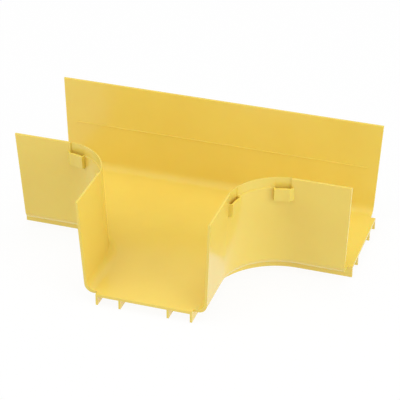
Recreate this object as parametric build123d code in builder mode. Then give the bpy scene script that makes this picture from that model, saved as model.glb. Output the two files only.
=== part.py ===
from build123d import *
import os
from math import cos, degrees, radians, sin, tan

# Horizontal tee of a fibre raceway: one moulded trough, open on top, with three equal ports.
# The straight run lies along X with its plain wall at the back (+Y), and the branch leaves towards -Y.
# The origin is on the plane that the ribs stand on, under the middle of the whole outline.

# Trough, with its widths and lengths outside, at the rim
rim_width = 120.0
total_height = 100.0
port_straight = 50.0
corner_radius = 46.0
wall = 2.1
floor = 2.5
draft_angle = 2.85
outer_foot_radius = 8.2
inner_foot_radius = 8.0
rim_rounding = 0.5

# Ribs under the floor, four at each port, placed from the port's middle; the floor and its ribs run on
# past the leaning ends of the walls
rib_depth = 8.5
rib_thickness = 1.9
inner_rib_offset = 22.0
outer_rib_offset = 43.0
floor_proud = 0.3

# Fine ridge along the inside of the back wall
ridge_height = 56.0
ridge_setback = 12.0
ridge_width = 1.5
ridge_crest = 0.6
ridge_proud = 0.5

# Cover latches, two on the outside of each corner, and the recesses above and between them; one end of
# a latch is flat, and the end towards the straight run's port slopes off
latch_setback = 3.4
latch_opening = 14.2
latch_height = 12.3
latch_drop = 9.0
latch_stand_off = 4.0
latch_plate = 1.9
latch_flat_side = 1.2
latch_slope_side = 2.3
latch_slope_run = 2.8
latch_slope_depth = 3.8
latch_recess = 1.4
band_recess = 1.0
band_slope = 0.8

# Levels and places that follow from these sizes
lean = tan(radians(draft_angle))
floor_top = rib_depth + floor
corner_x = rim_width / 2 + corner_radius
port_reach = corner_x + port_straight
floor_reach = port_reach + floor_proud
main_y = (floor_reach - rim_width / 2) / 2
corner_y = main_y - corner_x
floor_width = 2 * outer_rib_offset + rib_thickness
run_out = inner_foot_radius + total_height * lean
cut_margin = wall
quarter_turn = 90.0


def tee_solid(inset, extension, low):
    """Tapered tee prism from the rim down to a level, set in from the outside and longer at its ports."""
    width = rim_width - 2 * inset
    reach = port_reach + extension
    with BuildPart() as prism:
        with BuildSketch(Plane.XY.offset(total_height)) as plan:
            with Locations((0, main_y)):
                Rectangle(2 * reach, width)
                Rectangle(width, reach, align=(Align.CENTER, Align.MAX))
            inner_corners = plan.vertices().group_by(SortBy.DISTANCE)[0]
            fillet(inner_corners, corner_radius + inset)
        extrude(amount=total_height - low, dir=(0, 0, -1), taper=draft_angle)
    return prism.part


def corner_strip(near, far, low, high, first, last, slope=0):
    """Curved strip about the Z axis that follows the outside of a corner wall, which lies at radius
    corner_radius at the rim; near and far are measured from that wall, away from the axis, first and
    last are its ends in degrees from the X axis, and its underside falls by the slope towards the axis."""
    start = radians(first)
    section = Plane((0, 0, 0), x_dir=(cos(start), sin(start), 0), z_dir=(sin(start), -cos(start), 0))
    near_low = low - slope * (far - near)
    near_low_radius = corner_radius + (total_height - near_low) * lean
    low_radius = corner_radius + (total_height - low) * lean
    high_radius = corner_radius + (total_height - high) * lean
    with BuildPart() as strip:
        with BuildSketch(section):
            with BuildLine():
                Polyline(
                    (near_low_radius + near, near_low),
                    (low_radius + far, low),
                    (high_radius + far, high),
                    (high_radius + near, high),
                    close=True,
                )
            make_face()
        revolve(axis=Axis.Z, revolution_arc=last - first)
    return strip.part


def corner_angle(length):
    """Turn about a corner's axis that a length along its wall makes, in degrees."""
    return degrees(length / corner_radius)


# Inside of the trough, as the form that is cut out of it, run out past all three ports
with BuildPart() as cavity:
    add(tee_solid(wall, run_out, floor_top))
    fillet(cavity.edges().group_by(Axis.Z)[0], inner_foot_radius)

# One latch, made about the axis of its corner and facing +X: a loop with one end sloped off, the slot
# through it and the notch in the rim above it
latch_top = total_height - latch_drop
latch_low = latch_top - latch_height
rim_clear = total_height + cut_margin
opening_end = corner_angle(latch_opening / 2)
flat_end = opening_end + corner_angle(latch_flat_side)
slope_end = opening_end + corner_angle(latch_slope_side)

with BuildPart() as right_loop:
    add(corner_strip(-latch_stand_off, latch_recess, latch_low, latch_top, -slope_end, flat_end))
    end_face = right_loop.faces().sort_by(Axis.Y)[0]
    front_edge = end_face.edges().sort_by(Axis.X)[0]
    chamfer(front_edge, latch_slope_depth, latch_slope_run, reference=end_face)

with BuildPart() as left_loop:
    mirror(right_loop.part, about=Plane.XZ)

latch_slot = corner_strip(
    latch_plate - latch_stand_off,
    latch_recess,
    latch_low - cut_margin,
    latch_top,
    -opening_end,
    opening_end,
)
latch_notch = corner_strip(
    -latch_stand_off - cut_margin, latch_recess, latch_top, rim_clear, -opening_end, opening_end
)

# Shallow band that is set back from the rim between the two latches of a corner, with a sloped ledge
latch_turn = corner_angle(latch_setback + latch_opening / 2)
band_end = quarter_turn / 2 - latch_turn - opening_end
band_notch = corner_strip(
    -cut_margin, band_recess, latch_top, rim_clear, -band_end, band_end, band_slope
)

# Each corner's axis, the direction in which its quarter turn starts, and its loop
corners = [
    ((corner_x, corner_y, 0), quarter_turn, right_loop),
    ((-corner_x, corner_y, 0), 0, left_loop),
]

with BuildPart() as tee_fitting:
    # Trough: rounded along the foot of its walls, sharp at the ports
    add(tee_solid(0, 0, rib_depth))
    foot_edges = tee_fitting.edges().group_by(Axis.Z)[0]
    left_edge, right_edge = foot_edges.group_by(Axis.X)[0], foot_edges.group_by(Axis.X)[-1]
    branch_edge = foot_edges.group_by(Axis.Y)[0]
    fillet(foot_edges - left_edge - right_edge - branch_edge, outer_foot_radius)
    add(cavity.part, mode=Mode.SUBTRACT)
    rim_edges = tee_fitting.edges().group_by(Axis.Z)[-1]
    fillet(rim_edges.filter_by(lambda edge: edge.length > 2 * wall), rim_rounding)

    # Floor between the outer ribs, out to the plane of each port
    with BuildSketch(Plane.XY.offset(rib_depth)):
        with Locations((0, main_y)):
            Rectangle(2 * floor_reach, floor_width)
            Rectangle(floor_width, floor_reach, align=(Align.CENTER, Align.MAX))
    extrude(amount=floor)

    # Ribs: two run straight along the back, and the others turn from each end into the branch
    with BuildSketch():
        with BuildLine():
            for offset in (inner_rib_offset, outer_rib_offset):
                Line((-floor_reach, main_y + offset), (floor_reach, main_y + offset))
                for side in (-1, 1):
                    FilletPolyline(
                        (side * floor_reach, main_y - offset),
                        (side * offset, main_y - offset),
                        (side * offset, main_y - floor_reach),
                        radius=corner_x - offset,
                    )
        trace(line_width=rib_thickness)
    extrude(amount=floor_top)

    # Ridge along the inside of the back wall, on its leaning face
    ridge_y = main_y + rim_width / 2 - wall - (total_height - ridge_height) * lean
    with BuildSketch(Plane.YZ):
        with BuildLine():
            Polyline(
                (ridge_y + ridge_proud, ridge_height - ridge_width / 2),
                (ridge_y + ridge_proud, ridge_height + ridge_width / 2),
                (ridge_y - ridge_proud, ridge_height + ridge_crest / 2),
                (ridge_y - ridge_proud, ridge_height - ridge_crest / 2),
                close=True,
            )
        make_face()
    extrude(amount=port_reach - ridge_setback, both=True)

    # Band between the latches of each corner, then the latches, which fill the ends of its ledge
    for centre, start, loop in corners:
        with Locations(Location(centre, (0, 0, start + quarter_turn / 2))):
            add(band_notch, mode=Mode.SUBTRACT)
        for turn in (latch_turn, quarter_turn - latch_turn):
            with Locations(Location(centre, (0, 0, start + turn))):
                add(loop.part)
                add(latch_slot, mode=Mode.SUBTRACT)
                add(latch_notch, mode=Mode.SUBTRACT)

tee_fitting.part.label = "tee_fitting"

os.makedirs("parts", exist_ok=True)
export_step(tee_fitting.part, "parts/tee_fitting.step")
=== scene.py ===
import math

import bpy
from bpy.props import FloatProperty, FloatVectorProperty, PointerProperty
from mathutils import Matrix, Vector


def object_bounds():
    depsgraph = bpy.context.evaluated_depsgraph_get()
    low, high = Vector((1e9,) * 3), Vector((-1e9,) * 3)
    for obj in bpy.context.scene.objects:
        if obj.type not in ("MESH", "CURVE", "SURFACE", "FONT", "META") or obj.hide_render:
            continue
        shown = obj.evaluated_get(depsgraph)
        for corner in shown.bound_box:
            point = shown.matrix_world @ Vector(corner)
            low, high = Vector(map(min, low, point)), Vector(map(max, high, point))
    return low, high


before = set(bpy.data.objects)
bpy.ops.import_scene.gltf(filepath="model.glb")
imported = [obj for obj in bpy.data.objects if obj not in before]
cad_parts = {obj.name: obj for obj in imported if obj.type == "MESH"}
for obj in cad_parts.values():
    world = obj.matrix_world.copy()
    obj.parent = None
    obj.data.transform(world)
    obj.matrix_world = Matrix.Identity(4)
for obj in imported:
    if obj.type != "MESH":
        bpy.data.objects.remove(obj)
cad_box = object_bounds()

bl_info = {
    "name": "Raceway Tee",
    "version": (1, 0, 0),
    "blender": (4, 5, 0),
    "location": "View3D > Sidebar > Raceway",
    "description": "Finishes a moulded raceway tee and sets it on a lit white stage",
    "category": "Object",
}

TEE_NODE = "tee_fitting"

# Side of the square picture in pixels
IMAGE_SIDE = 400

# Plain white, and the strength at which a glowing surface shows as white
WHITE = (1.0, 1.0, 1.0, 1.0)
WHITE_STRENGTH = 1.0

# Plastic: how much it bends light, and how far red, green and blue spread, as shares of the scatter depth
PLASTIC_IOR = 1.5
SCATTER = (1.0, 0.55, 0.12)

# Noises in the plastic, with scales in features to the metre, and the range that a noise mostly fills
PIGMENT_CLOUDS = {"Scale": 22.0, "Detail": 3.0, "Roughness": 0.55}
SKIN_WAVES = {"Scale": 28.0, "Detail": 1.0}
SKIN_GRAIN = {"Scale": 1800.0, "Detail": 2.0}
NOISE_RANGE = {"From Min": 0.25, "From Max": 0.75}

# Skin: how far its roughness strays, and the strength and depth of its grain, the depth in metres
SHEEN_SPREAD = 0.03
GRAIN_RELIEF = {"Strength": 0.15, "Distance": 0.00002}

# Rays that look for a nearby edge to soften
EDGE_SAMPLES = 4

# Floor: half of its side, and the gap that keeps it clear of the ribs, in metres
FLOOR_HALF_SIDE = 12.0
FLOOR_GAP = 0.0002

# Soft lamps: name, azimuth to the right of the branch and elevation in degrees, and side in metres
LAMPS = (
    ("left", -55.0, 25.0, 1.8),
    ("right", 70.0, 20.0, 1.6),
    ("top", 0.0, 88.0, 1.8),
)

# From the middle of the fitting to each lamp, in metres
LAMP_DISTANCE = 2.2


class TeePlasticSettings(bpy.types.PropertyGroup):
    """Colour and surface of the moulded plastic."""

    body_colour: FloatVectorProperty(
        name="Body colour",
        description="Colour of the pigmented plastic",
        subtype="COLOR",
        size=4,
        min=0.0,
        max=1.0,
        default=(0.87, 0.662, 0.125, 1.0),
    )
    pale_colour: FloatVectorProperty(
        name="Pale colour",
        description="Colour where the pigment lies thinner",
        subtype="COLOR",
        size=4,
        min=0.0,
        max=1.0,
        default=(0.89, 0.688, 0.136, 1.0),
    )
    roughness: FloatProperty(
        name="Roughness",
        description="Mean roughness of the skin that the polished mould leaves",
        subtype="FACTOR",
        min=0.0,
        max=1.0,
        default=0.2,
    )
    edge_radius: FloatProperty(
        name="Edge radius",
        description="Softening of the edges that the solid leaves sharp",
        unit="LENGTH",
        min=0.0,
        default=0.0001,
    )
    translucency: FloatProperty(
        name="Translucency",
        description="Share of the light that spreads inside the plastic before it comes out",
        subtype="FACTOR",
        min=0.0,
        max=1.0,
        default=0.25,
    )
    scatter_depth: FloatProperty(
        name="Scatter depth",
        description="How far the reddest light spreads inside the plastic",
        unit="LENGTH",
        min=0.0,
        default=0.003,
    )


class TeeStageSettings(bpy.types.PropertyGroup):
    """Floor, lamps and camera round the fitting."""

    floor_colour: FloatVectorProperty(
        name="Floor colour",
        description="Colour of the plain floor, where its shadow shows",
        subtype="COLOR",
        size=4,
        min=0.0,
        max=1.0,
        default=(0.95, 0.95, 0.95, 1.0),
    )
    floor_light: FloatProperty(
        name="Floor light",
        description="Brightness of the floor as it lights the fitting, where 1 is white",
        subtype="FACTOR",
        min=0.0,
        max=1.0,
        default=0.772,
    )
    floor_glow: FloatProperty(
        name="Floor glow",
        description="How far the floor shows as plain white, and how faint its shadow is",
        subtype="FACTOR",
        min=0.0,
        max=1.0,
        default=0.92,
    )
    dome_strength: FloatProperty(
        name="Dome strength",
        description="Even light from all round",
        min=0.0,
        default=0.54,
    )
    left_power: FloatProperty(
        name="Left power",
        description="Power of the soft lamp low at the front left",
        unit="POWER",
        min=0.0,
        default=10.2,
    )
    right_power: FloatProperty(
        name="Right power",
        description="Power of the soft lamp low at the right",
        unit="POWER",
        min=0.0,
        default=18.5,
    )
    top_power: FloatProperty(
        name="Top power",
        description="Power of the soft lamp overhead",
        unit="POWER",
        min=0.0,
        default=19.8,
    )
    camera_place: FloatVectorProperty(
        name="Camera place",
        description="Where the camera stands, in the frame of the fitting",
        subtype="TRANSLATION",
        unit="LENGTH",
        size=3,
        default=(0.44238, -1.30019, 0.86473),
    )
    camera_yaw: FloatProperty(
        name="Camera yaw",
        description="Turn of the view from the line along the branch",
        subtype="ANGLE",
        default=math.radians(18.176),
    )
    camera_pitch: FloatProperty(
        name="Camera pitch",
        description="How far the camera looks down",
        subtype="ANGLE",
        default=math.radians(30.585),
    )
    camera_roll: FloatProperty(
        name="Camera roll",
        description="Turn of the picture about the line of sight",
        subtype="ANGLE",
        default=math.radians(0.126),
    )
    focal_pixels: FloatProperty(
        name="Focal length in pixels",
        description="Focal length of the lens, measured in pixels of the square picture",
        subtype="PIXEL",
        min=1.0,
        default=1782.3,
    )


def add_node(tree, kind, inputs=None, **settings):
    """New shader node with its settings, and with values on its input sockets."""
    node = tree.nodes.new(kind)
    for name, value in settings.items():
        setattr(node, name, value)
    for name, value in (inputs or {}).items():
        node.inputs[name].default_value = value
    return node


def add_noise(tree, place, values):
    """Output of a noise that is fixed to the fitting."""
    noise = add_node(tree, "ShaderNodeTexNoise", values)
    tree.links.new(place.outputs["Object"], noise.inputs["Vector"])
    return noise.outputs["Fac"]


def spread_noise(tree, noise, low=0.0, high=1.0):
    """Output that goes smoothly from low to high as a noise goes through its range."""
    spread = add_node(
        tree,
        "ShaderNodeMapRange",
        {**NOISE_RANGE, "To Min": low, "To Max": high},
        interpolation_type="SMOOTHSTEP",
    )
    tree.links.new(noise, spread.inputs["Value"])
    return spread.outputs["Result"]


def mix_shaders(tree, first, second):
    """Mix of two shaders, all of the first at a factor of 0 and all of the second at 1."""
    mix = add_node(tree, "ShaderNodeMixShader")
    tree.links.new(first.outputs[0], mix.inputs[1])
    tree.links.new(second.outputs[0], mix.inputs[2])
    return mix


def tee_plastic(settings):
    """Yellow moulded plastic: slightly clouded pigment, polished skin with fine grain, soft edges."""
    material = bpy.data.materials.new("yellow_plastic")
    material.use_nodes = True
    tree = material.node_tree
    link = tree.links.new
    shader = tree.nodes["Principled BSDF"]
    shader.inputs["IOR"].default_value = PLASTIC_IOR
    shader.inputs["Subsurface Weight"].default_value = settings.translucency
    shader.inputs["Subsurface Radius"].default_value = SCATTER
    shader.inputs["Subsurface Scale"].default_value = settings.scatter_depth
    place = add_node(tree, "ShaderNodeTexCoord")

    paleness = spread_noise(tree, add_noise(tree, place, PIGMENT_CLOUDS))
    colours = {"A": settings.body_colour, "B": settings.pale_colour}
    pigment = add_node(tree, "ShaderNodeMix", colours, data_type="RGBA")
    link(paleness, pigment.inputs["Factor"])
    link(pigment.outputs["Result"], shader.inputs["Base Color"])

    smoothest = settings.roughness - SHEEN_SPREAD
    roughest = settings.roughness + SHEEN_SPREAD
    sheen = spread_noise(tree, add_noise(tree, place, SKIN_WAVES), smoothest, roughest)
    link(sheen, shader.inputs["Roughness"])

    edges = add_node(tree, "ShaderNodeBevel", {"Radius": settings.edge_radius}, samples=EDGE_SAMPLES)
    skin = add_node(tree, "ShaderNodeBump", GRAIN_RELIEF)
    link(add_noise(tree, place, SKIN_GRAIN), skin.inputs["Height"])
    link(edges.outputs["Normal"], skin.inputs["Normal"])
    link(skin.outputs["Normal"], shader.inputs["Normal"])
    return material


def white_to_view(tree):
    """Output that is 1 where the camera or a clear reflection looks, and 0 where light spreads."""
    path = add_node(tree, "ShaderNodeLightPath")
    seen = path.outputs["Is Camera Ray"]
    for ray in ("Is Glossy Ray", "Is Transmission Ray"):
        either = add_node(tree, "ShaderNodeMath", operation="MAXIMUM")
        tree.links.new(seen, either.inputs[0])
        tree.links.new(path.outputs[ray], either.inputs[1])
        seen = either.outputs["Value"]
    return seen


def floor_paint(settings):
    """White floor that lights evenly, shows as white round a faint shadow, and is clear from below."""
    material = bpy.data.materials.new("studio_floor")
    material.use_nodes = True
    tree = material.node_tree
    link = tree.links.new
    tree.nodes.remove(tree.nodes["Principled BSDF"])
    output = tree.nodes["Material Output"]

    matt = add_node(tree, "ShaderNodeBsdfDiffuse", {"Color": settings.floor_colour})
    glow = add_node(tree, "ShaderNodeEmission", {"Color": WHITE, "Strength": WHITE_STRENGTH})
    shown = mix_shaders(tree, matt, glow)
    shown.inputs["Fac"].default_value = settings.floor_glow

    even = add_node(tree, "ShaderNodeEmission", {"Color": WHITE, "Strength": settings.floor_light})
    floor = mix_shaders(tree, even, shown)
    link(white_to_view(tree), floor.inputs["Fac"])

    side = add_node(tree, "ShaderNodeNewGeometry")
    clear = add_node(tree, "ShaderNodeBsdfTransparent")
    both = mix_shaders(tree, floor, clear)
    link(side.outputs["Backfacing"], both.inputs["Fac"])
    link(both.outputs["Shader"], output.inputs["Surface"])
    return material


def lay_floor(settings):
    """Plain floor under the fitting."""
    half = FLOOR_HALF_SIDE
    corners = [(-half, -half, 0.0), (half, -half, 0.0), (half, half, 0.0), (-half, half, 0.0)]
    mesh = bpy.data.meshes.new("studio_floor")
    mesh.from_pydata(corners, [], [(0, 1, 2, 3)])
    mesh.materials.append(floor_paint(settings))
    floor = bpy.data.objects.new("studio_floor", mesh)
    floor.location.z = cad_box[0].z - FLOOR_GAP
    bpy.context.scene.collection.objects.link(floor)


def light_dome(settings):
    """Even pale surround that lights the fitting softly."""
    world = bpy.data.worlds.new("studio_dome")
    world.use_nodes = True
    tree = world.node_tree
    tree.nodes.clear()
    soft = add_node(tree, "ShaderNodeBackground", {"Color": WHITE, "Strength": settings.dome_strength})
    output = add_node(tree, "ShaderNodeOutputWorld")
    tree.links.new(soft.outputs["Background"], output.inputs["Surface"])
    bpy.context.scene.world = world


def hang_lamp(name, azimuth, elevation, side, power):
    """Square soft lamp that faces the middle of the fitting, and isn't seen itself."""
    centre = (cad_box[0] + cad_box[1]) / 2
    turn = math.radians(azimuth)
    rise = math.radians(elevation)
    away = Vector(
        (math.sin(turn) * math.cos(rise), -math.cos(turn) * math.cos(rise), math.sin(rise))
    )
    lamp = bpy.data.lights.new(f"{name}_lamp", "AREA")
    lamp.energy = power
    lamp.shape = "SQUARE"
    lamp.size = side
    holder = bpy.data.objects.new(f"{name}_lamp", lamp)
    holder.location = centre + away * LAMP_DISTANCE
    holder.rotation_euler = (-away).to_track_quat("-Z", "Y").to_euler()
    holder.visible_camera = False
    holder.visible_glossy = False
    bpy.context.scene.collection.objects.link(holder)


def stand_camera(settings):
    """Camera at the picture's viewpoint."""
    camera = bpy.data.cameras.new("view_camera")
    camera.lens = camera.sensor_width * settings.focal_pixels / IMAGE_SIDE
    holder = bpy.data.objects.new("view_camera", camera)
    upright = math.pi / 2
    turn = (
        Matrix.Rotation(settings.camera_yaw, 4, "Z")
        @ Matrix.Rotation(upright - settings.camera_pitch, 4, "X")
        @ Matrix.Rotation(settings.camera_roll, 4, "Z")
    )
    holder.matrix_world = Matrix.Translation(settings.camera_place) @ turn
    bpy.context.scene.collection.objects.link(holder)
    bpy.context.scene.camera = holder


class RACEWAY_OT_finish_tee(bpy.types.Operator):
    """Give the moulded tee its yellow plastic."""

    bl_idname = "raceway.finish_tee"
    bl_label = "Finish Tee Fitting"

    def execute(self, context):
        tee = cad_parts.get(TEE_NODE)
        if tee is None:
            raise RuntimeError(f"the frame has no node named {TEE_NODE}")
        plastic = tee_plastic(context.scene.tee_plastic)
        for slot in tee.material_slots:
            slot.material = plastic
        return {"FINISHED"}


class RACEWAY_OT_set_stage(bpy.types.Operator):
    """Lay the floor, light it and stand the camera."""

    bl_idname = "raceway.set_stage"
    bl_label = "Set Stage"

    def execute(self, context):
        settings = context.scene.tee_stage
        context.scene.view_settings.view_transform = "Standard"
        lay_floor(settings)
        light_dome(settings)
        for name, azimuth, elevation, side in LAMPS:
            hang_lamp(name, azimuth, elevation, side, getattr(settings, f"{name}_power"))
        stand_camera(settings)
        return {"FINISHED"}


class RACEWAY_PT_tee(bpy.types.Panel):
    """Finish and stage of the raceway tee."""

    bl_label = "Raceway Tee"
    bl_idname = "RACEWAY_PT_tee"
    bl_space_type = "VIEW_3D"
    bl_region_type = "UI"
    bl_category = "Raceway"

    def draw(self, context):
        layout = self.layout
        for settings, operator in (
            (context.scene.tee_plastic, RACEWAY_OT_finish_tee),
            (context.scene.tee_stage, RACEWAY_OT_set_stage),
        ):
            box = layout.box()
            for name in settings.__annotations__:
                box.prop(settings, name)
            box.operator(operator.bl_idname)


CLASSES = (
    TeePlasticSettings,
    TeeStageSettings,
    RACEWAY_OT_finish_tee,
    RACEWAY_OT_set_stage,
    RACEWAY_PT_tee,
)


def register():
    for each in CLASSES:
        bpy.utils.register_class(each)
    bpy.types.Scene.tee_plastic = PointerProperty(type=TeePlasticSettings)
    bpy.types.Scene.tee_stage = PointerProperty(type=TeeStageSettings)


def unregister():
    del bpy.types.Scene.tee_stage
    del bpy.types.Scene.tee_plastic
    for each in reversed(CLASSES):
        bpy.utils.unregister_class(each)


def main():
    register()
    bpy.ops.raceway.finish_tee()
    bpy.ops.raceway.set_stage()


if __name__ == "__main__":
    main()
